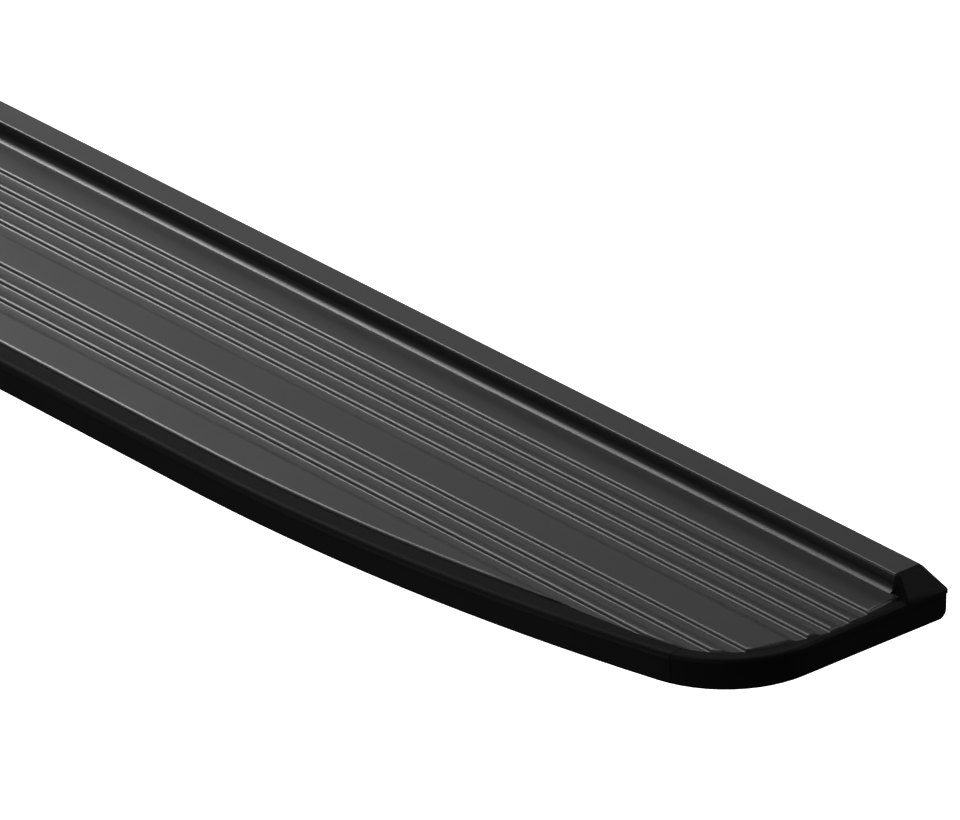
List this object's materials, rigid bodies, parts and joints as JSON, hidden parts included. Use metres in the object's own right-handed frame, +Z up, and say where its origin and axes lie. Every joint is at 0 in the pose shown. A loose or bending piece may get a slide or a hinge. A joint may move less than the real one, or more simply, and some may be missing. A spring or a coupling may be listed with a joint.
{
  "type": "running board",
  "caption": "Running board for a truck: ribbed aluminium tread with a raised inner rail, moulded fascia and end caps, on sliding steel brackets.",
  "frame": {"origin": "middle of the centre bracket's two sill bolt holes, on the sill pad's top face", "axes": "+X along the board to its front end, +Y towards the vehicle, +Z up"},
  "size_m": [1.75, 0.23, 0.0479],
  "materials": {
    "coated_aluminium": "satin black powder coat",
    "moulding": "satin black, fine grain",
    "black_screw": "black zinc",
    "coated_steel": "black electrocoat",
    "rubber_pad": "matt",
    "zinc_hardware": "clear zinc plate"
  },
  "bodies": {
    "board": {"tread_extrusion": "coated_aluminium", "side_fascia": "moulding", "front_end_cap": "moulding", "rear_end_cap": "moulding", "fascia_screws": "black_screw", "front_cap_screws": "black_screw", "rear_cap_screws": "black_screw"},
    "front_mount": {"front_bracket": "coated_steel", "front_isolators": "rubber_pad", "front_t_bolts": "zinc_hardware", "front_washers": "zinc_hardware", "front_nuts": "zinc_hardware"},
    "centre_mount": {"centre_bracket": "coated_steel", "centre_isolators": "rubber_pad", "centre_t_bolts": "zinc_hardware", "centre_washers": "zinc_hardware", "centre_nuts": "zinc_hardware"},
    "rear_mount": {"rear_bracket": "coated_steel", "rear_isolators": "rubber_pad", "rear_t_bolts": "zinc_hardware", "rear_washers": "zinc_hardware", "rear_nuts": "zinc_hardware"}
  },
  "joints": [
    {"name": "front_bracket_slide", "type": "slide", "parent": "board", "child": "front_mount", "axis": [1, 0, 0], "range_m": [-0.25, 0.06]},
    {"name": "centre_bracket_slide", "type": "slide", "parent": "board", "child": "centre_mount", "axis": [1, 0, 0], "range_m": [-0.25, 0.25]},
    {"name": "rear_bracket_slide", "type": "slide", "parent": "board", "child": "rear_mount", "axis": [1, 0, 0], "range_m": [-0.06, 0.25]}
  ]
}
